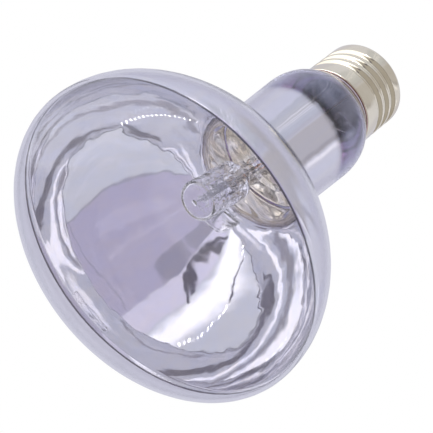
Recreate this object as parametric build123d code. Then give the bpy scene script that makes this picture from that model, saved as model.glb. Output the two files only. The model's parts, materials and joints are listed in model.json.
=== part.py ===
# Basking spot bulb: silvered reflector lamp with an inner capsule and a 27 mm screw cap.
# Millimetres, +Z up along the lamp axis, origin at the centre of the domed face.
# The lamp stands on its face, as it hangs in use, with the cap on top.
from math import hypot, sqrt
import os

from build123d import *

os.makedirs("parts", exist_ok=True)

# Blown glass bulb
face_radius = 47.0          # widest circle
rim_height = 20.0           # height of the widest circle over the centre of the face
back_height = 43.6          # from the widest circle to the neck
neck_radius = 16.5          # outside, where the reflector meets the neck
neck_top_radius = 17.1      # the neck opens a little towards the cap
neck_length = 26.1
shoulder_height = 11.4      # from the neck to the glass edge under the cap
bulb_wall = 0.9
dome_pull = 25.2            # how far the face stays flat from its centre
rim_front_pull = 11.3       # roundness of the rim, on the face side
rim_back_pull = 21.5        # and on the reflector side
neck_pull = 8.5             # roundness where the reflector meets the neck
shoulder_start_pull = 7.9
shoulder_end_pull = 1.6
shoulder_proud = 0.1        # the shoulder is this much larger than the shell
skirt_clear = 2.3           # from the thread crests in to the glass tube inside the cap
turn_in_height = 2.1        # from the shoulder edge to the start of the skirt
skirt_length = 4.8
# Trims of the curve handles that keep the wall even where the outline is set in
dome_trim = 0.13
rim_front_trim = 0.95
rim_back_trim = 0.36
neck_trim = 0.84
shoulder_trim = 0.7

# Mirror film
film_thickness = 0.08
film_gap = 0.08             # keeps the film clear of the curved glass
film_length = 63.6          # from the widest circle to its faded edge on the neck

# Screw shell of the cap, thread form of the 27 mm lamp cap
thread_radius = 13.2        # over the crests
thread_pitch = 3.629
thread_arc = 1.025          # radius of crest and root
thread_turns = 3.1
thread_land = 0.12          # half of the plain strip left between two turns of a cut
shell_wall = 0.3
seam_angle = 77.0           # turns the plain shell so that its seam lies clear of the thread ends
thread_angle = 180.0        # where the thread starts, counted from +X about the axis
rim_gap = 0.8               # from the glass shoulder edge up to the shell rim
collar_length = 2.9         # smooth collar below the thread
bead_radius = 0.35          # rolled bead on the shell rim
thread_margin = 0.4         # plain stretch between the collar and the thread
end_length = 0.1            # and between the thread and the rolled end
end_round = 1.6             # rounding of the rolled end
lip_width = 2.6             # from the thread crests in to the opening of the rolled end

# Insulator and contact
insulator_clear = 0.1       # between the insulator and the lip
insulator_depth = 4.4       # part of the insulator inside the shell
insulator_rise = 2.9        # part of the insulator above the lip
insulator_fit = 0.4         # between the insulator and the thread roots
contact_radius = 5.2
contact_thickness = 0.5
contact_margin = 2.6        # flat of the insulator around the contact
contact_hole_radius = 1.0
solder_radius = 2.5
solder_height = 0.8

# Stem: flare, press and exhaust tube
flare_thickness = 1.1
flare_tube_radius = 5.2
stem_wall = 1.0
flare_length = 10.0         # curved part of the flare
tube_length = 9.0           # straight part of the flare tube
press_width = 12.0
press_thickness = 4.0
press_height = 8.0
press_blend = 3.0           # from the round tube to the flat press
exhaust_radius = 1.8
exhaust_wall = 0.8
exhaust_length = 17.2
exhaust_tip = 2.6           # drawn off tip
exhaust_tip_radius = 0.5
flare_pull = 4.2            # roundness of the flare
flare_clear = 0.2           # between the flare and the glass mouth

# Basing cement
cement_length = 3.4         # from the glass edge up into the collar

# Wires
lead_spacing = 6.4
lead_radius = 0.4
lead_grip = 2.0             # how far each wire end runs into the press
seal_wire_radius = 0.2
copper_radius = 0.2
copper_rise = 1.6           # of the shell lead over the flare
copper_bend = 1.0
contact_lead_gap = 1.0      # of the contact lead from the exhaust tip and from the insulator
solder_cover = 0.3          # solder over the end of the contact lead
shell_lead_gap = 0.45       # between the skirt and the middle of the shell lead
shell_lead_height = 2.0     # of the soldered hole over the shell rim
side_hole_radius = 0.5
side_solder_radius = 1.2
side_solder_proud = 0.45

# Heat shield
shield_depth = 9.4          # from the start of the neck
shield_clear = 0.3          # between the disc and the film
shield_thickness = 0.4
shield_dish = 1.6           # depth of the stamped dish
shield_dish_radius = 8.6
shield_dish_slope = 1.6     # width of the sloping step round the dish
shield_rim_radius = 0.5     # rolled rim of the disc
eyelet_radius = 1.1
eyelet_flange = 1.8
eyelet_flange_height = 0.7
eyelet_rise = 1.2           # of the eyelet behind the disc

# Inner capsule, held a little out of line by its pins
capsule_radius = 5.75
capsule_wall = 1.0
capsule_length = 16.8       # round body, front to pinch
capsule_edge = 1.3          # rounding of the front
capsule_dome = 0.5          # rise of the front
capsule_tip_radius = 0.9
capsule_tip_height = 0.7
pinch_width = 10.4
pinch_thickness = 3.2
pinch_length = 8.0
pinch_blend = 3.0
pin_radius = 0.35
pin_length = 4.6            # outside the pinch
pin_grip = 1.8              # inside the pinch
weld_gap = 0.05
weld_overlap = 3.6          # how far a lead runs beside its pin
weld_depth = 4.0            # middle of the welds, from the start of the neck
capsule_lean = 5.6          # degrees
foil_width = 2.2
leg_grip = 1.6              # how far the inner wires run into the pinch
foil_thickness = 0.1

# Filament
coil_radius = 0.9
coil_wire_radius = 0.12
coil_pitch = 0.62
coil_turns = 14
coil_front_gap = 4.2        # from the outside of the capsule front to the coil
return_radius = 0.2
return_offset = 3.0         # of the stiff wire from the capsule axis
return_drop = 1.4           # of the stiff wire in front of the coil
tail_length = 0.2           # of the coil end that meets the stiff wire
leg_bend = 0.5
return_bend = 0.8

# Heights and radii worked out from the sizes above
neck_start = rim_height + back_height
neck_end = neck_start + neck_length
shoulder_end = neck_end + shoulder_height
shoulder_radius = thread_radius + shoulder_proud
skirt_radius = thread_radius - skirt_clear
lip_radius = thread_radius - lip_width
skirt_start = shoulder_end + turn_in_height
skirt_end = skirt_start + skirt_length
shell_rim = shoulder_end + rim_gap
collar_end = shell_rim + collar_length
thread_depth = 2 * thread_arc - sqrt((2 * thread_arc) ** 2 - (thread_pitch / 2) ** 2)
root_radius = thread_radius - thread_depth
crest_centre = thread_radius - thread_arc
shell_radius = crest_centre + sqrt(thread_arc ** 2 - thread_land ** 2)
root_centre = root_radius + thread_arc
thread_start = collar_end + thread_margin + thread_pitch / 2
thread_end = thread_start + thread_pitch * thread_turns
plain_end = thread_end + thread_pitch / 2 + end_length
lip_top = plain_end + end_round
insulator_top = lip_top + insulator_rise
contact_top = insulator_top + contact_thickness
flare_top = skirt_end + flare_thickness
press_top = flare_top - flare_length - tube_length
press_bottom = press_top - press_height
exhaust_start = press_top + press_blend
exhaust_end = exhaust_start + exhaust_length + exhaust_tip
insulator_bottom = lip_top - insulator_depth
solder_top = contact_top + solder_height
lead_x = lead_spacing / 2
pin_x = lead_x - lead_radius - pin_radius - weld_gap
weld_height = neck_start + weld_depth
pinch_top = weld_height - pin_length / 2
pinch_bottom = pinch_top - pinch_length
capsule_front = pinch_bottom - pinch_blend - capsule_length
shield_height = neck_start + shield_depth
foil_bottom = pinch_bottom + leg_grip
foil_top = pinch_top - pin_grip
coil_front = capsule_front + coil_front_gap
coil_back = coil_front + coil_pitch * coil_turns
lean = Pos(0, 0, weld_height) * Rot(-capsule_lean, 0, 0) * Pos(0, 0, -weld_height)
side_hole_height = shell_rim + shell_lead_height


def neck_radius_at(height):
    """Outside radius of the tapered neck at a height."""
    share = (height - neck_start) / neck_length
    return neck_radius + (neck_top_radius - neck_radius) * share


def turned(face):
    """Turn a face drawn as (radius, height) about the lamp axis."""
    return revolve(Plane.XZ * face, Axis.Z)


def ring(inner, outer, bottom, top):
    """Plain ring between two radii and two heights."""
    return turned(make_face(Polyline((inner, bottom), (outer, bottom), (outer, top),
                                     (inner, top), close=True)))


def rod(x, y, bottom, top, radius):
    """Upright round rod."""
    standing = (Align.CENTER, Align.CENTER, Align.MIN)
    return Pos(x, y, bottom) * Cylinder(radius, top - bottom, align=standing)


def wire(points, bends, radius):
    """Round wire along straight runs joined by arcs."""
    path = FilletPolyline(*points, radius=bends)
    return sweep(Plane(path @ 0, z_dir=path % 0) * Circle(radius), path)


def bulb_outline(inset, top):
    """Glass outline from the centre of the face up to the top of the skirt, set in by a distance."""
    bend = shoulder_end - shoulder_trim * inset
    skirt = skirt_start - shoulder_trim * inset
    face = Bezier((0, inset), (dome_pull - dome_trim * inset, inset),
                  (face_radius - inset, rim_height - rim_front_pull + rim_front_trim * inset),
                  (face_radius - inset, rim_height))
    back = Bezier(face @ 1, (face_radius - inset, rim_height + rim_back_pull - rim_back_trim * inset),
                  (neck_radius - inset, neck_start - neck_pull - neck_trim * inset),
                  (neck_radius - inset, neck_start))
    neck = Line(back @ 1, (neck_top_radius - inset, neck_end))
    shoulder = Bezier(neck @ 1, (neck_top_radius - inset, neck_end + shoulder_start_pull),
                      (shoulder_radius - inset, bend - shoulder_end_pull),
                      (shoulder_radius - inset, bend))
    turn_in = Bezier(shoulder @ 1, (shoulder_radius - inset, bend + turn_in_height / 2),
                     (skirt_radius - inset, skirt - turn_in_height / 2), (skirt_radius - inset, skirt))
    tube = Line(turn_in @ 1, (skirt_radius - inset, top))
    lid = Line(tube @ 1, (0, top))
    axis = Line(lid @ 1, face @ 0)
    return make_face([face, back, neck, shoulder, turn_in, tube, lid, axis])


def bulb_envelope():
    """Blown glass, open only at the end of its skirt, where the flare closes it."""
    inside = bulb_outline(bulb_wall, skirt_end + bulb_wall)
    return turned(bulb_outline(0, skirt_end) - inside)


def mirror_coating():
    """Aluminium film on the reflector back and most of the neck."""
    outside = bulb_wall + film_gap
    film = bulb_outline(outside, skirt_end) - bulb_outline(outside + film_thickness, skirt_end)
    covered = Pos(face_radius / 2, rim_height + film_length / 2) * Rectangle(face_radius, film_length)
    return turned(film & covered)


def wave_face(deep_centre, deep_arc, near_centre, near_arc, outward):
    """One turn of a thread cut: an arc at its bottom, tangent arcs on both sides, open at the top.
    outward is 1 for a cut from outside and -1 for a cut from inside."""
    half_pitch = thread_pitch / 2
    span = deep_arc + near_arc
    reach = thread_radius + outward * (thread_arc + thread_depth)

    def on_arc(start, end, centre):
        mid_x = (start[0] + end[0]) / 2 - centre[0]
        mid_y = (start[1] + end[1]) / 2 - centre[1]
        scale = near_arc / hypot(mid_x, mid_y)
        return (centre[0] + mid_x * scale, centre[1] + mid_y * scale)

    meet_x = near_centre + (deep_centre - near_centre) * near_arc / span
    meet_y = half_pitch - half_pitch * near_arc / span
    edge_x = near_centre + outward * sqrt(near_arc ** 2 - thread_land ** 2)
    edge_y = half_pitch - thread_land
    bottom = ThreePointArc((meet_x, -meet_y), (deep_centre - outward * deep_arc, 0), (meet_x, meet_y))
    upper_mid = on_arc((meet_x, meet_y), (edge_x, edge_y), (near_centre, half_pitch))
    lower_mid = on_arc((meet_x, -meet_y), (edge_x, -edge_y), (near_centre, -half_pitch))
    upper = ThreePointArc((meet_x, meet_y), upper_mid, (edge_x, edge_y))
    lower = ThreePointArc((edge_x, -edge_y), lower_mid, (meet_x, -meet_y))
    top = Polyline((edge_x, edge_y), (reach, edge_y), (reach, -edge_y), (edge_x, -edge_y))
    return make_face([bottom, upper, top, lower])


def thread_cut(section, start, turns):
    helix = Helix(pitch=thread_pitch, height=thread_pitch * turns, radius=root_radius)
    return Pos(0, 0, start) * sweep(Plane.XZ * section, path=helix, is_frenet=True)


def thread_end_cut(section):
    """Rounded end of a thread cut: half of its section turned about a radial line."""
    upper = section & (Pos(thread_radius, thread_pitch / 2) * Rectangle(4 * thread_radius, thread_pitch))
    return revolve(Plane.XZ * upper, Axis.X)


def rolled_end(outer):
    """Rounded end of the shell with its flat lip."""
    corner = outer - end_round
    return turned(make_face([
        CenterArc((corner, plain_end), end_round, 0, 90),
        Line((corner, lip_top), (lip_radius, lip_top)),
        Line((lip_radius, lip_top), (lip_radius, lip_top - shell_wall)),
        Line((lip_radius, lip_top - shell_wall), (corner, lip_top - shell_wall)),
        CenterArc((corner, plain_end), end_round - shell_wall, 0, 90),
        Line((outer - shell_wall, plain_end), (outer, plain_end)),
    ]))


def screw_shell():
    """Rolled sheet shell: bead, smooth collar, round thread, rolled end with its lip."""
    bore = root_centre - sqrt((thread_arc + shell_wall) ** 2 - thread_land ** 2)
    shell = ring(shell_radius - shell_wall, shell_radius, shell_rim, collar_end)
    shell += ring(bore, shell_radius, collar_end, plain_end)
    shell += rolled_end(shell_radius)
    shell += turned(Pos(shell_radius - shell_wall / 2, shell_rim + bead_radius) * Circle(bead_radius))
    shell = Rot(0, 0, seam_angle) * shell
    outer_cut = wave_face(root_centre, thread_arc, crest_centre, thread_arc, 1)
    inner_cut = wave_face(crest_centre, thread_arc - shell_wall,
                          root_centre, thread_arc + shell_wall, -1)
    inner_turns = (plain_end - thread_start) / thread_pitch
    shell -= thread_cut(outer_cut, thread_start, thread_turns)
    shell -= Pos(0, 0, thread_start) * thread_end_cut(outer_cut)
    shell -= Pos(0, 0, thread_end) * Rot(0, 0, 360 * thread_turns) * thread_end_cut(outer_cut)
    shell -= thread_cut(inner_cut, thread_start - thread_pitch / 2, inner_turns)
    shell = Rot(0, 0, thread_angle) * shell
    return shell - side_plug(2 * side_hole_radius)


def side_plug(length):
    """Round plug through the collar, where the shell lead comes out."""
    place = Pos(-(shell_radius - length / 2), 0, side_hole_height) * Rot(0, 90, 0)
    return place * Cylinder(side_hole_radius, length)


def cap_insulator():
    """Black glass insulator, seated under the lip and rising through it to the contact."""
    wide = root_radius - shell_wall - insulator_fit
    narrow = lip_radius - insulator_clear
    seat = lip_top - shell_wall
    land = contact_radius + contact_margin
    body = turned(make_face(Polyline(
        (contact_hole_radius, insulator_bottom), (wide, insulator_bottom), (wide, seat), (narrow, seat),
        (narrow, lip_top), (land, insulator_top), (contact_hole_radius, insulator_top), close=True)))
    return body


def centre_contact():
    """Contact plate with the hole that the lead comes through."""
    return ring(contact_hole_radius, contact_radius, insulator_top, contact_top)


def domed(radius, height, base):
    """Solid dome of a base radius and a height, standing on a level."""
    arc_radius = (radius ** 2 + height ** 2) / (2 * height)
    ball = Pos(0, 0, base + height - arc_radius) * Sphere(arc_radius)
    return ball & rod(0, 0, base, base + height, radius)


def centre_solder():
    shank = rod(0, 0, insulator_top, contact_top, contact_hole_radius)
    return domed(solder_radius, solder_height, contact_top) + shank - contact_lead()


def side_solder():
    arc_radius = (side_solder_radius ** 2 + side_solder_proud ** 2) / (2 * side_solder_proud)
    ball = Pos(arc_radius - side_solder_proud - shell_radius, 0, side_hole_height) * Sphere(arc_radius)
    half_height = 2 * side_solder_radius
    core = rod(0, 0, side_hole_height - half_height, side_hole_height + half_height, shell_radius)
    outside = Pos(-thread_radius - side_solder_radius, 0, side_hole_height) * Box(
        4 * side_solder_radius, 4 * side_solder_radius, 4 * side_solder_radius)
    return ((ball & outside) - core) + side_plug(shell_wall) - shell_lead()


def basing_cement():
    """Cement between the glass and the collar, shown as a dark line under the shell rim."""
    fill = ring(skirt_radius - bulb_wall, shell_radius - shell_wall, shoulder_end,
                shoulder_end + cement_length)
    glass = turned(bulb_outline(0, skirt_end))
    bead = turned(Pos(shell_radius - shell_wall / 2, shell_rim + bead_radius) * Circle(bead_radius))
    return fill - glass - bead - shell_lead()


def glass_stem():
    """Flare, flat press and exhaust tube, fused into one piece of glass."""
    inner_radius = flare_tube_radius - stem_wall
    flare_end = flare_top - flare_length
    start = skirt_radius - bulb_wall - flare_clear
    flare = turned(make_face([
        Bezier((start, skirt_end), (start - flare_pull, skirt_end),
               (flare_tube_radius, flare_end + flare_pull), (flare_tube_radius, flare_end)),
        Polyline((flare_tube_radius, flare_end), (flare_tube_radius, exhaust_start),
                 (inner_radius, exhaust_start), (inner_radius, flare_end)),
        Bezier((inner_radius, flare_end), (inner_radius, flare_end + flare_pull),
               (start - flare_pull, flare_top), (start, flare_top)),
        Polyline((start, flare_top), (skirt_radius, flare_top), (skirt_radius, skirt_end),
                 (start, skirt_end)),
    ]))
    flat = RectangleRounded(press_width, press_thickness, press_thickness * 0.45)
    press = Pos(0, 0, press_bottom) * extrude(flat, press_height)
    blend = loft([Pos(0, 0, press_top) * flat, Pos(0, 0, exhaust_start) * Circle(flare_tube_radius)])
    tip = Pos(0, 0, exhaust_end - exhaust_tip) * Cone(
        exhaust_radius, exhaust_tip_radius, exhaust_tip, align=(Align.CENTER, Align.CENTER, Align.MIN))
    tube_top = exhaust_end - exhaust_tip
    stem = flare + press + blend + rod(0, 0, exhaust_start, tube_top, exhaust_radius) + tip
    bore = exhaust_radius - exhaust_wall
    stem -= rod(0, 0, press_top - bore, tube_top, bore)
    stem -= Pos(0, 0, press_top - bore) * Rot(90, 0, 0) * Cylinder(bore / 2, press_width)
    for side in (-1, 1):
        stem -= rod(side * lead_x, 0, press_bottom, press_bottom + lead_grip, lead_radius)
        stem -= rod(side * lead_x, 0, press_bottom, press_top - lead_grip, seal_wire_radius)
        stem -= rod(side * lead_x, 0, press_top - lead_grip, exhaust_start, copper_radius)
    return stem


def contact_lead():
    bottom = press_top - lead_grip
    return wire([(lead_x, 0, bottom), (lead_x, 0, exhaust_end + contact_lead_gap),
                 (0, 0, insulator_bottom - contact_lead_gap / 2),
                 (0, 0, solder_top - solder_cover)], copper_bend, copper_radius)


def shell_lead():
    level = flare_top + copper_rise
    out = skirt_radius + shell_lead_gap
    return wire([(-lead_x, 0, press_top - lead_grip), (-lead_x, 0, level), (-out, 0, level),
                 (-out, 0, side_hole_height), (-thread_radius, 0, side_hole_height)],
                copper_bend, copper_radius)


def heat_shield():
    """Stamped disc with a dish in the middle and a rolled rim."""
    flat = shield_height
    dish = shield_height + shield_dish
    film_inside = neck_radius_at(flat) - bulb_wall - film_gap - film_thickness
    edge = film_inside - shield_clear - shield_rim_radius
    step = shield_dish_radius + shield_dish_slope
    outline = Polyline(
        (0, dish), (shield_dish_radius, dish), (step, flat), (edge, flat),
        (edge, flat + shield_thickness),
        (step + shield_thickness / 2, flat + shield_thickness),
        (shield_dish_radius + shield_thickness / 2, dish + shield_thickness),
        (0, dish + shield_thickness), close=True)
    disc = turned(make_face(outline))
    disc += turned(Pos(edge, flat + shield_thickness / 2) * Circle(shield_rim_radius))
    for side in (-1, 1):
        disc -= rod(side * lead_x, 0, flat, dish + 2 * shield_thickness, eyelet_radius)
    return disc


def shield_eyelet(side):
    """Ceramic eyelet: a flange under the disc and a sleeve through it, on the lead."""
    dish = shield_height + shield_dish
    x = side * lead_x
    eyelet = rod(x, 0, dish - eyelet_flange_height, dish, eyelet_flange)
    eyelet += rod(x, 0, dish, dish + shield_thickness + eyelet_rise, eyelet_radius)
    return eyelet - rod(x, 0, shield_height, dish + 2 * eyelet_rise, lead_radius)


def inner_lead(side):
    """Stiff wire from the press to the weld beside a capsule pin."""
    return rod(side * lead_x, 0, weld_height - weld_overlap / 2, press_bottom + lead_grip, lead_radius)


def seal_wire(side):
    return rod(side * lead_x, 0, press_bottom + lead_grip, press_top - lead_grip, seal_wire_radius)


def capsule_pin(side):
    return rod(side * pin_x, 0, foil_top, pinch_top + pin_length, pin_radius)


def seal_foil(side):
    return Pos(side * pin_x, 0, (foil_bottom + foil_top) / 2) * Box(
        foil_width, foil_thickness, foil_top - foil_bottom)


def filament():
    """Coiled wire, with a leg into the pinch and a short tail at the front."""
    coil = Pos(0, 0, coil_front) * sweep(
        Plane((coil_radius, 0, 0), z_dir=(0, 1, 0)) * Circle(coil_wire_radius),
        path=Helix(pitch=coil_pitch, height=coil_pitch * coil_turns, radius=coil_radius), is_frenet=True)
    leg = wire([(coil_radius, 0, coil_back), (coil_radius, 0, coil_back + 2 * coil_pitch),
                (pin_x, 0, pinch_bottom - pinch_blend / 2), (pin_x, 0, foil_bottom)],
               leg_bend, coil_wire_radius)
    tail = rod(coil_radius, 0, coil_front - tail_length, coil_front, coil_wire_radius)
    knots = [Pos(coil_radius, 0, z) * Sphere(coil_wire_radius) for z in (coil_front, coil_back)]
    return coil + leg + tail + knots


def filament_return():
    """Stiff wire that runs past the coil and carries its front end."""
    front = coil_front - return_drop
    return wire([(-pin_x, 0, foil_bottom), (-pin_x, 0, pinch_bottom - pinch_blend / 2),
                 (-return_offset, 0, coil_back), (-return_offset, 0, front), (coil_radius, 0, front),
                 (coil_radius, 0, coil_front - tail_length)], return_bend, return_radius)


def capsule_skin(inset):
    """Half section of the round part of the capsule, set in by a distance."""
    radius = capsule_radius - inset
    front = capsule_front + inset
    corner = max(capsule_edge - inset, inset / 2)
    edge_height = front + capsule_dome
    top = capsule_front + capsule_length
    dome_mid = ((radius - corner) / 2, front + capsule_dome / 4)
    return make_face([
        ThreePointArc((0, front), dome_mid, (radius - corner, edge_height)),
        CenterArc((radius - corner, edge_height + corner), corner, -90, 90),
        Polyline((radius, edge_height + corner), (radius, top), (0, top), (0, front)),
    ])


def capsule_glass():
    """Clear tube with a domed front, a drawn off tip and a flat pinch."""
    top = capsule_front + capsule_length
    body = turned(capsule_skin(0))
    flat = RectangleRounded(pinch_width, pinch_thickness, pinch_thickness * 0.3)
    blend = loft([Pos(0, 0, top) * Circle(capsule_radius), Pos(0, 0, pinch_bottom) * flat])
    pinch = Pos(0, 0, pinch_bottom) * extrude(flat, pinch_length)
    tip = Rot(180, 0, 0) * domed(capsule_tip_radius, capsule_tip_height + capsule_dome, 0)
    tip = Pos(0, 0, capsule_front + capsule_dome) * tip
    glass = body + blend + pinch + tip - turned(capsule_skin(capsule_wall))
    for side in (-1, 1):
        glass -= seal_foil(side) + capsule_pin(side)
    return glass - filament() - filament_return()


pieces = {
    "bulb_envelope": bulb_envelope(),
    "mirror_coating": mirror_coating(),
    "glass_stem": glass_stem(),
    "heat_shield": heat_shield(),
    "contact_lead": contact_lead(),
    "shell_lead": shell_lead(),
    "capsule_glass": lean * capsule_glass(),
    "filament": lean * filament(),
    "filament_return": lean * filament_return(),
    "screw_shell": screw_shell(),
    "cap_insulator": cap_insulator(),
    "centre_contact": centre_contact(),
    "centre_solder": centre_solder(),
    "side_solder": side_solder(),
    "basing_cement": basing_cement(),
}
for name, side in (("left", -1), ("right", 1)):
    pieces["inner_lead_" + name] = inner_lead(side)
    pieces["seal_wire_" + name] = seal_wire(side)
    pieces["shield_eyelet_" + name] = shield_eyelet(side)
    pieces["capsule_pin_" + name] = lean * capsule_pin(side)
    pieces["seal_foil_" + name] = lean * seal_foil(side)

for name, shape in pieces.items():
    export_step(shape, "parts/" + name + ".step")
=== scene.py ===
import json
import math
import bmesh
import bpy
from mathutils import Matrix, Vector
from mathutils.geometry import interpolate_bezier


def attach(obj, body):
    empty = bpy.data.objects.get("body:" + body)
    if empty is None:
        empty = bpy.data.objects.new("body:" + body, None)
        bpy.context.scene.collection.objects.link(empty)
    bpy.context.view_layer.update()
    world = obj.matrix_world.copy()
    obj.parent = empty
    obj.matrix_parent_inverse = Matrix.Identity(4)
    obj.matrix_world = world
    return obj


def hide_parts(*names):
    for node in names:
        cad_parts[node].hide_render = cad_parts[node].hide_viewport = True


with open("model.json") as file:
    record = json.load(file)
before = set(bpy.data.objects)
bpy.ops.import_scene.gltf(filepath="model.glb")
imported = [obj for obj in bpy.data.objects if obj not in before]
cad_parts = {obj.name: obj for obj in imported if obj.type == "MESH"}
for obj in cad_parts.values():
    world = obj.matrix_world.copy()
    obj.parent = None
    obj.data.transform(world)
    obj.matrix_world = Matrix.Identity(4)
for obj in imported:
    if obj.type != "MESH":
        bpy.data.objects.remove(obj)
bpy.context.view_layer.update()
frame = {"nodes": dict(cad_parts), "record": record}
mm = 0.001
print("frame loaded:", len(frame["nodes"]), "nodes")


class Value:                        # a shader socket that can stand in Python sums
    def __init__(self, graph, socket):
        self.graph = graph
        self.socket = socket

    def __add__(self, other):
        return self.graph.sum("ADD", self, other)

    def __sub__(self, other):
        return self.graph.sum("SUBTRACT", self, other)

    def __mul__(self, other):
        return self.graph.sum("MULTIPLY", self, other)

    def __rsub__(self, other):
        return self.graph.sum("SUBTRACT", other, self)

    def __pow__(self, other):
        return self.graph.sum("POWER", self, other)

    __radd__ = __add__
    __rmul__ = __mul__


class Graph:                        # the node tree of one material or world
    def __init__(self, tree):
        self.tree = tree
        self.tree.nodes.clear()

    def add(self, kind, settings=None, inputs=None, output=0):
        node = self.tree.nodes.new(kind)
        for name, setting in (settings or {}).items():
            setattr(node, name, setting)
        for name, value in (inputs or {}).items():
            if isinstance(value, Value):
                self.tree.links.new(value.socket, node.inputs[name])
            else:
                node.inputs[name].default_value = value
        return Value(self, node.outputs[output]) if node.outputs else None

    def sum(self, operation, a, b):
        return self.add("ShaderNodeMath", {"operation": operation}, {0: a, 1: b})

    def between(self, value, low, high, start=0.0, end=1.0):    # smooth step of a value
        return self.add("ShaderNodeMapRange", {"interpolation_type": "SMOOTHSTEP"},
                        {"Value": value, "From Min": low, "From Max": high, "To Min": start, "To Max": end})

    def blend(self, share, a, b):
        return self.add("ShaderNodeMix", {"data_type": "RGBA"}, {0: share, 6: a, 7: b}, 2)

    def noise(self, place, scale, detail=3.0, roughness=0.5):
        return self.add("ShaderNodeTexNoise", None,
                        {"Vector": place, "Scale": scale, "Detail": detail, "Roughness": roughness})

    def place(self, stretch=(1, 1, 1)):                         # stretched for grain that runs one way
        spot = self.add("ShaderNodeTexCoord", None, None, "Object")
        return self.add("ShaderNodeMapping", None, {"Vector": spot, "Scale": stretch})

    def height(self):
        spot = self.add("ShaderNodeTexCoord", None, None, "Object")
        return self.add("ShaderNodeSeparateXYZ", None, {0: spot}, "Z")

    def bump(self, height, strength, distance):
        return self.add("ShaderNodeBump", None,
                        {"Height": height, "Strength": strength, "Distance": distance})


def newMaterial(name):
    material = bpy.data.materials.new(name)
    material.use_nodes = True
    return material, Graph(material.node_tree)


def finishMaterial(graph, inputs):
    skin = graph.add("ShaderNodeBsdfPrincipled", None, inputs)
    graph.add("ShaderNodeOutputMaterial", None, {"Surface": skin})


def rgb(r, g, b):
    return (r, g, b, 1.0)


glassLook = {
    "tint": rgb(0.955, 0.950, 0.985),
    "edge": rgb(0.62, 0.62, 0.70),          # longer way through the wall at a slant
    "smoked": rgb(0.60, 0.61, 0.75),        # painted shade between the silver and the cap, under a faint film
    # painted shade, lighter where the glass is seen at a slant
    "smokedEdge": rgb(0.86, 0.85, 0.92),
    "mauve": rgb(0.80, 0.60, 0.77),         # painted mauve shade and sheen beside the cap
    "smokeStart": 84.0 * mm,
    "smokeFull": 88.0 * mm,
    "smokeFade": 2.0 * mm,
    "smokeUneven": 3.0 * mm,
    "mauveStart": 94.5 * mm,
    "smokeEnd": 100.0 * mm,
    "filmBase": 0.14,                       # how far the faint film mirrors
    "filmClouds": 0.18,
    "filmRim": 0.45,
    "cloudScale": 120.0,
    "smudgeScale": 90.0,
    "smudgeGloss": 0.03,
    "slant": 2.5,
    "ior": 1.47,
    "waveScale": 38.0,                      # slow unevenness of blown glass
    "waveHeight": 0.00006,
}


def bulbGlassFinish():
    look = glassLook
    material, graph = newMaterial("violetBulbGlass")
    place = graph.place()
    slow = graph.noise(place, look["waveScale"], 2.0, 0.4)
    smudge = graph.noise(place, look["smudgeScale"], 5.0, 0.6)
    slant = graph.add("ShaderNodeLayerWeight", None, {"Blend": 0.5}, "Facing") ** look["slant"]
    # painted shade on the shoulder glass: a darker colour above the silver, lighter at a slant
    height = graph.height() + (smudge - 0.5) * look["smokeUneven"]
    paintedShadeMask = graph.between(height, look["smokeStart"] - look["smokeFade"], look["smokeStart"])
    rim = graph.between(height, look["mauveStart"], look["smokeEnd"])
    clouds = graph.between(graph.noise(place, look["cloudScale"], 3.0, 0.55), 0.35, 0.65)
    clear = graph.blend(slant, look["tint"], look["edge"])
    # painted mauve shade and sheen beside the cap, over the painted shade
    smoked = graph.blend(rim, look["smoked"], look["mauve"])
    smoked = graph.blend(graph.between(slant, 0.15, 0.45), smoked, look["smokedEdge"])
    cover = graph.between(height, look["smokeStart"] - look["smokeFade"], look["smokeFull"])
    film = cover * (look["filmBase"] + clouds * look["filmClouds"]) + rim * look["filmRim"]
    finishMaterial(graph, {
        "Base Color": graph.blend(paintedShadeMask, clear, smoked),
        "Metallic": film * paintedShadeMask,
        "Transmission Weight": 1.0,
        "IOR": look["ior"],
        "Roughness": graph.between(smudge, 0.55, 0.8, 0.0, look["smudgeGloss"]),
        "Normal": graph.bump(slow, 1.0, look["waveHeight"]),
    })
    return material


mirrorLook = {
    "colour": rgb(0.86, 0.86, 0.91),
    "warm": rgb(0.90, 0.88, 0.88),
    "waveScale": 42.0,
    "waveHeight": 0.0006,
    "streakStretch": (260, 260, 12),        # streaks run along the lamp
    "streakUneven": 2.5 * mm,
    "fineScale": 420.0,
    "fineUneven": 2.0 * mm,
    "fadeEnd": 83.4 * mm,                   # soft upper edge of the silver on the neck
    "fadeWidth": 3.2 * mm,
    "edgeStart": 20.35 * mm,                # thin dark edge where the silver begins at the rim
    "edgeEnd": 20.75 * mm,
    "edgeColour": rgb(0.10, 0.09, 0.12),
    "smoothest": 0.03,
    "roughest": 0.09,
}


def mirrorFinish():
    look = mirrorLook
    material, graph = newMaterial("aluminiumFilm")
    place = graph.place()
    slow = graph.noise(place, look["waveScale"], 3.2, 0.45)
    streak = graph.noise(graph.place(look["streakStretch"]), 1.0, 3.0, 0.6)
    fine = graph.noise(place, look["fineScale"], 3.0, 0.6)
    edge = graph.height() + (fine - 0.5) * look["fineUneven"] + (streak - 0.5) * look["streakUneven"]
    silver = graph.blend(graph.between(streak, 0.3, 0.7), look["colour"], look["warm"])
    bright = graph.between(graph.height(), look["edgeStart"], look["edgeEnd"])
    finishMaterial(graph, {
        "Base Color": graph.blend(bright, look["edgeColour"], silver),
        "Metallic": 1.0,
        "Roughness": graph.between(fine, 0.3, 0.8, look["smoothest"], look["roughest"]),
        "Alpha": graph.between(edge, look["fadeEnd"] - look["fadeWidth"], look["fadeEnd"], 1.0, 0.0),
        "Normal": graph.bump(slow, 1.0, look["waveHeight"]),
    })
    return material


clearLook = {"ior": 1.46, "cloudScale": 300.0, "waveScale": 230.0}


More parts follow.
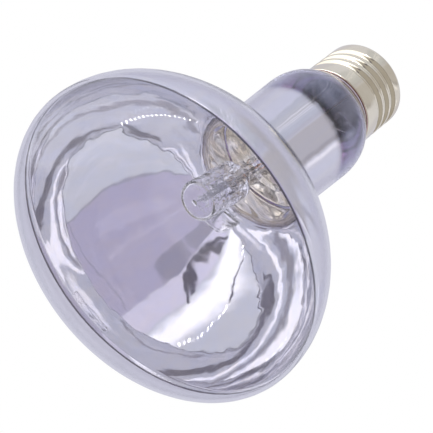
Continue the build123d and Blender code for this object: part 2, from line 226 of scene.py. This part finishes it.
def clearGlassFinish(name, tint, haze, waveHeight):
    material, graph = newMaterial(name)
    cloudy = graph.noise(graph.place(), clearLook["cloudScale"], 4.0, 0.6)
    slow = graph.noise(graph.place(), clearLook["waveScale"], 1.5, 0.5)
    finishMaterial(graph, {
        "Base Color": tint,
        "Transmission Weight": 1.0,
        "IOR": clearLook["ior"],
        "Roughness": graph.between(cloudy, 0.45, 0.8, 0.0, haze),
        "Normal": graph.bump(slow, 1.0, waveHeight),
    })
    return material


metalLook = {"patchScale": 0.25, "markDepth": 0.00002}          # patches are this share of the mark scale


def metalFinish(name, colour, shade, low, high, grain=(1, 1, 1), scale=400.0):
    material, graph = newMaterial(name)
    marks = graph.noise(graph.place(grain), scale, 4.0, 0.65)
    patches = graph.noise(graph.place(), scale * metalLook["patchScale"], 3.0, 0.5)
    finishMaterial(graph, {
        "Base Color": graph.blend(graph.between(patches, 0.35, 0.7), colour, shade),
        "Metallic": 1.0,
        "Roughness": graph.between(marks, 0.25, 0.8, low, high),
        "Normal": graph.bump(marks, 0.6, metalLook["markDepth"]),
    })
    return material


def dullFinish(name, colour, shade, roughness, scale=500.0, depth=0.00008, coat=0.0):
    material, graph = newMaterial(name)
    grain = graph.noise(graph.place(), scale, 5.0, 0.65)
    finishMaterial(graph, {
        "Base Color": graph.blend(graph.between(grain, 0.3, 0.7), colour, shade),
        "Roughness": graph.between(grain, 0.2, 0.8, roughness - 0.1, roughness + 0.1),
        "Coat Weight": coat,
        "Normal": graph.bump(grain, 0.8, depth),
    })
    return material


shieldLook = {
    "light": rgb(0.99, 0.97, 0.90),
    "warm": rgb(0.70, 0.62, 0.46),
    "toneScale": 90.0,
    "dentScale": 95.0,                      # soft dents that break up what the sheet mirrors
    "dentHeight": 0.0022,
    "markScale": 600.0,
    "smoothest": 0.06,
    "roughest": 0.16,
}


def shieldFinish():
    look = shieldLook
    material, graph = newMaterial("warmShieldMetal")
    place = graph.place()
    dents = graph.noise(place, look["dentScale"], 1.5, 0.5)
    marks = graph.noise(place, look["markScale"], 4.0, 0.6)
    tone = graph.between(graph.noise(place, look["toneScale"], 3.0, 0.5), 0.35, 0.65)
    finishMaterial(graph, {
        "Base Color": graph.blend(tone, look["light"], look["warm"]),
        "Metallic": 1.0,
        "Roughness": graph.between(marks, 0.3, 0.8, look["smoothest"], look["roughest"]),
        "Normal": graph.bump(dents, 1.0, look["dentHeight"]),
    })
    return material


alongWire = (1, 1, 0.05)
finishes = {
    "tinted_glass": bulbGlassFinish(),
    "mirror_film": mirrorFinish(),
    "stem_glass": clearGlassFinish("stemGlass", rgb(0.93, 0.95, 0.95), 0.08, 0.00003),
    "capsule_glass": clearGlassFinish("capsuleGlass", rgb(0.98, 0.98, 0.99), 0.02, 0.0005),
    "shield_metal": shieldFinish(),
    "lead_wire": metalFinish("nickelWire", rgb(0.66, 0.64, 0.60), rgb(0.45, 0.43, 0.42), 0.22, 0.4,
                             alongWire),
    "copper_wire": metalFinish("copperWire", rgb(0.85, 0.48, 0.30), rgb(0.55, 0.30, 0.20), 0.2, 0.4,
                               alongWire),
    "tungsten": metalFinish("tungstenWire", rgb(0.62, 0.62, 0.66), rgb(0.42, 0.42, 0.46), 0.25, 0.45),
    "ceramic": dullFinish("eyeletCeramic", rgb(0.84, 0.80, 0.72), rgb(0.70, 0.64, 0.55), 0.65),
    "plated_shell": metalFinish("nickelShell", rgb(0.88, 0.82, 0.68), rgb(0.77, 0.70, 0.56), 0.08, 0.18,
                                (1, 1, 6), 260.0),
    "black_insulator": dullFinish("blackGlass", rgb(0.010, 0.010, 0.012), rgb(0.02, 0.02, 0.024), 0.18, 220.0,
                                  0.00004, 0.4),
    "contact_brass": metalFinish("contactBrass", rgb(0.80, 0.62, 0.32), rgb(0.62, 0.45, 0.22), 0.22, 0.42),
    "solder": metalFinish("softSolder", rgb(0.62, 0.62, 0.63), rgb(0.45, 0.45, 0.47), 0.3, 0.5,
                          (1, 1, 1), 700.0),
    "cement": dullFinish("brownCement", rgb(0.20, 0.10, 0.06), rgb(0.10, 0.05, 0.035), 0.8, 900.0, 0.0002),
}
print("finishes made:", len(finishes))


def addPiece(name, mesh, slot, *nodes):
    piece = bpy.data.objects.new(name, mesh)
    bpy.context.scene.collection.objects.link(piece)
    mesh.materials.clear()
    mesh.materials.append(finishes[slot])
    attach(piece, "root")
    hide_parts(*nodes)


def toMesh(bm, name):
    mesh = bpy.data.meshes.new(name)
    bm.to_mesh(mesh)
    bm.free()
    return mesh


bulb = {                                    # millimetres, the outside of the blown glass
    "faceRadius": 47.0,
    "domePull": 25.2,                       # how far the face stays flat from its centre
    "rimHeight": 20.0,
    "rimFrontPull": 11.3,                   # roundness of the rim, on the face side
    "rimBackPull": 21.5,                    # and on the reflector side
    "neckHeight": 63.6,
    "neckPull": 8.5,                        # roundness where the reflector meets the neck
    "neckRadius": 16.5,
    "neckTopRadius": 17.1,
    "neckTopHeight": 89.7,
    "shoulderStartPull": 7.9,
    "shoulderEndPull": 1.6,
    "shoulderRadius": 13.3,
    "shoulderHeight": 101.1,
    "turnPull": 1.05,
    "skirtRadius": 10.9,
    "skirtStart": 103.2,
    "skirtEnd": 108.0,
    "wall": 0.9,
    "steps": 192,                           # round the axis
    "detail": 26,                           # points along each long curve
    "neckRings": 8,
    "turnDetail": 6,
}
trim = {"dome": 0.13, "rimFront": 0.95, "rimBack": 0.36, "neck": 0.84, "shoulder": 0.7}     # per mm of inset
film = {"inset": 0.98, "thickness": 0.08, "start": 20.0, "end": 83.6}


def curvePoints(start, pullStart, pullEnd, end, count):
    corners = [Vector((r, 0.0, z)) for r, z in (start, pullStart, pullEnd, end)]
    return [Vector(p) for p in interpolate_bezier(*corners, count)]


def bulbOutline(inset):                     # from the centre of the face to the skirt, set in by a distance
    wide = bulb["faceRadius"] - inset
    neck = bulb["neckRadius"] - inset
    neckTop = bulb["neckTopRadius"] - inset
    shoulder = bulb["shoulderRadius"] - inset
    skirt = bulb["skirtRadius"] - inset
    rim, neckStart, neckEnd = bulb["rimHeight"], bulb["neckHeight"], bulb["neckTopHeight"]
    bend = bulb["shoulderHeight"] - trim["shoulder"] * inset
    turn = bulb["skirtStart"] - trim["shoulder"] * inset
    many, few, rings = bulb["detail"], bulb["detail"] // 2, bulb["neckRings"]
    points = curvePoints(
        (0, inset), (bulb["domePull"] - trim["dome"] * inset, inset),
        (wide, rim - bulb["rimFrontPull"] + trim["rimFront"] * inset), (wide, rim), many)
    points += curvePoints(
        (wide, rim), (wide, rim + bulb["rimBackPull"] - trim["rimBack"] * inset),
        (neck, neckStart - bulb["neckPull"] - trim["neck"] * inset), (neck, neckStart), many)[1:]
    points += [Vector((neck + (neckTop - neck) * t / rings, 0, neckStart + (neckEnd - neckStart) * t / rings))
               for t in range(1, rings)]
    points += curvePoints(
        (neckTop, neckEnd), (neckTop, neckEnd + bulb["shoulderStartPull"]),
        (shoulder, bend - bulb["shoulderEndPull"]), (shoulder, bend), few)
    points += curvePoints(
        (shoulder, bend), (shoulder, bend + bulb["turnPull"]),
        (skirt, turn - bulb["turnPull"]), (skirt, turn), bulb["turnDetail"])[1:]
    return points


def spunMesh(points, name, closed=False):   # turns a profile in millimetres about the lamp axis
    bm = bmesh.new()
    verts = [bm.verts.new(p * mm) for p in points]
    edges = [bm.edges.new(pair) for pair in zip(verts, verts[1:])]
    if closed:
        edges.append(bm.edges.new((verts[-1], verts[0])))
    bmesh.ops.spin(bm, geom=verts + edges, cent=(0, 0, 0), axis=(0, 0, 1), angle=2 * math.pi,
                   steps=bulb["steps"], use_merge=True, use_duplicate=False)
    bmesh.ops.remove_doubles(bm, verts=bm.verts, dist=0.000002)
    bmesh.ops.recalc_face_normals(bm, faces=bm.faces)
    for face in bm.faces:
        face.smooth = True
    return toMesh(bm, name)


def makeBulb():
    outer = bulbOutline(0) + [Vector((bulb["skirtRadius"], 0, bulb["skirtEnd"]))]
    inner = bulbOutline(bulb["wall"]) + [Vector((bulb["skirtRadius"] - bulb["wall"], 0, bulb["skirtEnd"]))]
    addPiece("bulbGlass", spunMesh(outer + inner[::-1], "bulbGlass"), "tinted_glass", "bulb_envelope")


def filmSide(inset):                        # the part of the outline that is silvered
    points = [p for p in bulbOutline(inset) if film["start"] < p.z < film["end"]]
    slope = (bulb["neckTopRadius"] - bulb["neckRadius"]) / (bulb["neckTopHeight"] - bulb["neckHeight"])
    top = bulb["neckRadius"] + slope * (film["end"] - bulb["neckHeight"])
    start = Vector((bulb["faceRadius"] - inset, 0, film["start"]))
    return [start] + points + [Vector((top - inset, 0, film["end"]))]


def makeFilm():
    outline = filmSide(film["inset"]) + filmSide(film["inset"] + film["thickness"])[::-1]
    addPiece("mirrorFilm", spunMesh(outline, "mirrorFilm", True), "mirror_film", "mirror_coating")


sharpAngle = math.radians(32)


def smoothCopy(node, slot):                 # a merged copy of a CAD node, smooth between its sharp edges
    bm = bmesh.new()
    bm.from_mesh(frame["nodes"][node].data)
    bmesh.ops.remove_doubles(bm, verts=bm.verts, dist=0.000001)
    for face in bm.faces:
        face.smooth = True
    for edge in bm.edges:
        edge.smooth = edge.calc_face_angle(0.0) < sharpAngle
    words = node.split("_")
    name = words[0] + "".join(word.capitalize() for word in words[1:])
    addPiece(name, toMesh(bm, name), slot, node)


makeBulb()
makeFilm()
slotOf = {item["node"]: item["material_slot"] for item in frame["record"]["subparts"]}
for node in sorted(frame["nodes"]):
    if node not in ("bulb_envelope", "mirror_coating"):
        smoothCopy(node, slotOf[node])


studio = {
    "floorSize": 6.0,
    "floorColour": rgb(0.86, 0.86, 0.87),
    "floorShade": rgb(0.88, 0.88, 0.88),
    "floorGrain": 12.0,
    "floorRoughness": 0.9,
    "fadeStart": 0.15,                      # the floor fades into the white backdrop
    "fadeEnd": 1.6,
    "white": 1.0,
    "lampPlace": (0.5, -0.5, 0.9),
    "lampTarget": (0, 0, 0.06),
    "lampSize": (0.6, 0.6),
    "lampPower": 6.0,
    "bounces": 24,                          # glass inside glass
    "mirrorBounces": 10,
}


def makeFloor():
    bm = bmesh.new()
    bmesh.ops.create_grid(bm, x_segments=1, y_segments=1, size=studio["floorSize"] / 2)
    mesh = toMesh(bm, "floor")
    floor = bpy.data.objects.new("floor", mesh)
    bpy.context.scene.collection.objects.link(floor)
    material, graph = newMaterial("paleFloor")
    grain = graph.noise(graph.place(), studio["floorGrain"], 3.0)
    paint = graph.add("ShaderNodeBsdfPrincipled", None, {
        "Base Color": graph.blend(grain, studio["floorColour"], studio["floorShade"]),
        "Roughness": studio["floorRoughness"]})
    clear = graph.add("ShaderNodeBsdfTransparent")
    above = 1 - graph.add("ShaderNodeNewGeometry", None, None, "Backfacing")
    far = graph.add("ShaderNodeVectorMath", {"operation": "LENGTH"}, {0: graph.place()}, "Value")
    near = graph.between(far, studio["fadeStart"], studio["fadeEnd"], 1.0, 0.0)
    seen = graph.add("ShaderNodeLightPath", None, None, "Is Camera Ray") * above * near
    graph.add("ShaderNodeOutputMaterial", None, {
        "Surface": graph.add("ShaderNodeMixShader", None, {0: seen, 1: clear, 2: paint})})
    mesh.materials.append(material)


room = {                                    # what the glass and the silver reflect, by direction
    "sides": rgb(0.66, 0.68, 0.75),
    "front": rgb(0.50, 0.47, 0.61),         # violet backdrop behind the camera
    "grey": rgb(0.64, 0.66, 0.73),          # the same backdrop, mirrored twice
    "glow": rgb(0.80, 0.77, 0.91),
    "panel": rgb(1.45, 1.45, 1.5),          # soft box on the -Y side
    "figure": rgb(0.27, 0.26, 0.32),        # dim shapes beside the camera
    "dark": rgb(0.10, 0.09, 0.12),          # camera on its stand
    "row": rgb(40, 40, 40),                 # row of small lamps in the gloss of the glass
    "beads": rgb(4, 4, 4),                  # and in the silver
    "lavender": rgb(0.72, 0.73, 0.81),
    "blueGrey": rgb(0.60, 0.62, 0.68),
    "beige": rgb(0.55, 0.54, 0.56),
    "shade": rgb(0.30, 0.29, 0.33),
    "stone": rgb(0.44, 0.42, 0.40),         # what bare metal sees of the room
    "umber": rgb(0.12, 0.10, 0.08),
    "bright": rgb(1.0, 1.0, 1.06),
    "behind": rgb(0.66, 0.66, 0.75),
    "diffuse": rgb(0.86, 0.86, 0.88),
    "seen": rgb(1, 1, 1),
    "back": (-0.7266, 0.0, 0.6871),
    "beadCount": 120.0,
    "streakCounts": (210, 117),
}


def makeWorld():
    world = bpy.data.worlds.new("studioWorld")
    bpy.context.scene.world = world
    world.use_nodes = True
    graph = Graph(world.node_tree)
    way = graph.add("ShaderNodeTexCoord")
    x, y, z = [graph.add("ShaderNodeSeparateXYZ", None, {0: way}, axis) for axis in "XYZ"]

    def sine(value, count):
        return graph.sum("SINE", value * count, 0.0)

    def along(direction):
        a, b, c = Vector(direction).normalized()
        return x * a + y * b + z * c

    def band(value, low, high, soft):
        return (graph.between(value, low - soft, low + soft)
                * graph.between(value, high - soft, high + soft, 1.0, 0.0))

    def below(value, low, high):
        return graph.between(value, low, high, 1.0, 0.0)

    def strip(start, end, halfWidth, soft):     # 1 inside a band of the room from one direction to another
        start, end = Vector(start).normalized(), Vector(end).normalized()
        middle = (start + end).normalized()
        run = (end - start).normalized()
        reach = (end - start).length / 2
        side = graph.sum("ABSOLUTE", along(middle.cross(run)), 0.0)
        far = graph.sum("ABSOLUTE", along(run), 0.0)
        return (below(side, halfWidth - soft, halfWidth + soft) * below(far, reach - soft, reach + soft)
                * graph.between(along(middle), 0.5, 0.6))         # on this side of the room only

    def layered(base, layers):
        colour = room[base]
        for where, name in layers:
            colour = graph.blend(where, colour, room[name])
        return colour

    camera, diffuse, through, bounces = [graph.add("ShaderNodeLightPath", None, None, name) for name in (
        "Is Camera Ray", "Is Diffuse Ray", "Is Transmission Ray", "Glossy Depth")]
    beads = graph.between(sine(x, room["beadCount"]), 0.2, 0.8)
    narrow, wide = room["streakCounts"]
    streaks = graph.between(sine(y, narrow) + sine(y, wide), 0.2, 1.2)
    rows = (
        (strip((0.76, -0.63, -0.17), (-0.10, -0.73, -0.68), 0.015, 0.004) * beads * (1 - through), "row"),
        (strip((0.50, -0.85, -0.20), (0.02, -0.83, -0.555), 0.016, 0.006) * beads * through, "beads"),
    )
    once = layered("sides", [                                   # in the silver, mirrored once
        (band(y, -0.36, 0.74, 0.015), "front"),
        (band(y, 0.735, 0.755, 0.006) * 0.6, "figure"),         # edge of the backdrop
        (band(y, -0.62, -0.36, 0.02), "glow"),
        (band(y, -0.83, -0.66, 0.045), "panel"),
        (strip((0.02, -0.84, -0.54), (0.03, -0.76, -0.65), 0.010, 0.006), "dark"),
        (strip((0.60, 0.78, -0.13), (0.93, -0.10, -0.35), 0.012, 0.010) * 0.5, "figure"),   # fold
        (strip((0.93, -0.10, -0.35), (0.90, -0.32, -0.27), 0.012, 0.010) * 0.5, "figure"),
        (strip((0.60, -0.13, -0.79), (0.56, -0.36, -0.745), 0.07, 0.02) * 0.7, "figure"),
        (strip((0.43, -0.66, -0.62), (0.50, -0.38, -0.775), 0.022, 0.012), "dark"),         # hooked arm
        (strip((0.50, -0.37, -0.78), (0.38, -0.63, -0.68), 0.025, 0.015), "dark"),
        (below(z, -0.95, -0.91), "panel"),
        *rows,
    ])
    twice = layered("sides", [                                  # mirrored twice, near the rim
        (band(y, -0.36, 0.70, 0.015), "grey"),
        (band(y, 0.62, 0.70, 0.01) * 0.8, "shade"),
        (strip((0.92, 0.0, -0.40), (0.58, -0.08, -0.80), 0.135, 0.03) * 0.9, "dark"),
        (band(y, -0.48, -0.37, 0.015), "panel"),
        (band(y, -0.66, -0.56, 0.02) * 0.8, "shade"),
        (band(y, -0.90, -0.70, 0.03), "panel"),
        (below(z, -0.97, -0.94) * 0.7, "panel"),
        *rows,
    ])
    direct = layered("stone", [                                 # in the bare cap and the gloss of the glass
        (band(y, -1.1, -0.50, 0.04), "panel"),
        (strip((0.90, -0.43, -0.06), (0.62, -0.36, -0.70), 0.06, 0.02), "dark"),
        (band(z, -0.10, 0.04, 0.02) * band(y, -0.35, 1.1, 0.05), "umber"),
        *rows,
    ])
    neckSide = layered("lavender", [                            # outside of the neck
        (band(y, -0.60, -0.12, 0.02), "blueGrey"),
        (band(y, -0.45, -0.27, 0.03) * streaks, "bright"),
        (band(y, -0.13, -0.05, 0.04) * 0.35, "shade"),
        (band(y, -0.04, 0.56, 0.03), "beige"),
        (band(y, 0.48, 0.56, 0.03) * 0.4, "shade"),
        (band(y, 0.60, 0.65, 0.015), "bright"),
    ])
    bowlSide = layered("lavender", [                            # outside of the reflector
        (band(y, -0.25, 0.22, 0.12), "beige"),
        (band(y, 0.34, 0.40, 0.03) * 0.5, "shade"),
    ])
    lower = graph.blend(through, direct, graph.blend(graph.between(bounces, 1.4, 1.6), once, twice))
    upper = graph.blend(graph.between(x, 0.2, 0.35), bowlSide, neckSide)
    upper = graph.blend(strip((-0.01, 0.74, 0.67), (-0.05, 0.97, 0.25), 0.024, 0.008), upper, room["panel"])
    colour = graph.blend(graph.between(z, -0.05, 0.15), lower, upper)
    colour = graph.blend(graph.between(along(room["back"]), 0.6, 0.75), colour, room["behind"])
    colour = graph.blend(diffuse, colour, room["diffuse"])
    colour = graph.blend(camera, colour, room["seen"])
    sky = graph.add("ShaderNodeBackground", None, {"Color": colour, "Strength": studio["white"]})
    graph.add("ShaderNodeOutputWorld", None, {"Surface": sky})


def makeLamp():
    place, target = Vector(studio["lampPlace"]), Vector(studio["lampTarget"])
    data = bpy.data.lights.new("softKey", "AREA")
    data.shape = "RECTANGLE"
    data.size, data.size_y = studio["lampSize"]
    data.energy = studio["lampPower"]
    lamp = bpy.data.objects.new("softKey", data)
    lamp.location = place
    lamp.rotation_mode = "QUATERNION"
    lamp.rotation_quaternion = (target - place).to_track_quat("-Z", "Y")
    lamp.visible_camera = False
    lamp.visible_glossy = False
    lamp.visible_transmission = False
    bpy.context.scene.collection.objects.link(lamp)


view = {                                    # fitted to the outline in the photograph
    "sensor": 36.0,
    "lens": 153.68,
    "right": (0.5368, 0.6244, 0.5676),
    "up": (0.4290, -0.7812, 0.4536),
    "back": (0.7266, 0.0, -0.6871),
    "place": (0.3589, 0.0035, -0.2985),
}


def makeCamera():
    data = bpy.data.cameras.new("camera")
    data.sensor_width = view["sensor"]
    data.lens = view["lens"]
    camera = bpy.data.objects.new("camera", data)
    camera.matrix_world = Matrix((
        *zip(view["right"], view["up"], view["back"], view["place"]), (0, 0, 0, 1)))
    bpy.context.scene.collection.objects.link(camera)
    bpy.context.scene.camera = camera


makeFloor()
makeWorld()
makeLamp()
makeCamera()
bpy.context.scene.view_settings.view_transform = "Standard"
bpy.context.scene.cycles.max_bounces = studio["bounces"]
bpy.context.scene.cycles.transmission_bounces = studio["bounces"]
bpy.context.scene.cycles.glossy_bounces = studio["mirrorBounces"]
print("studio made")
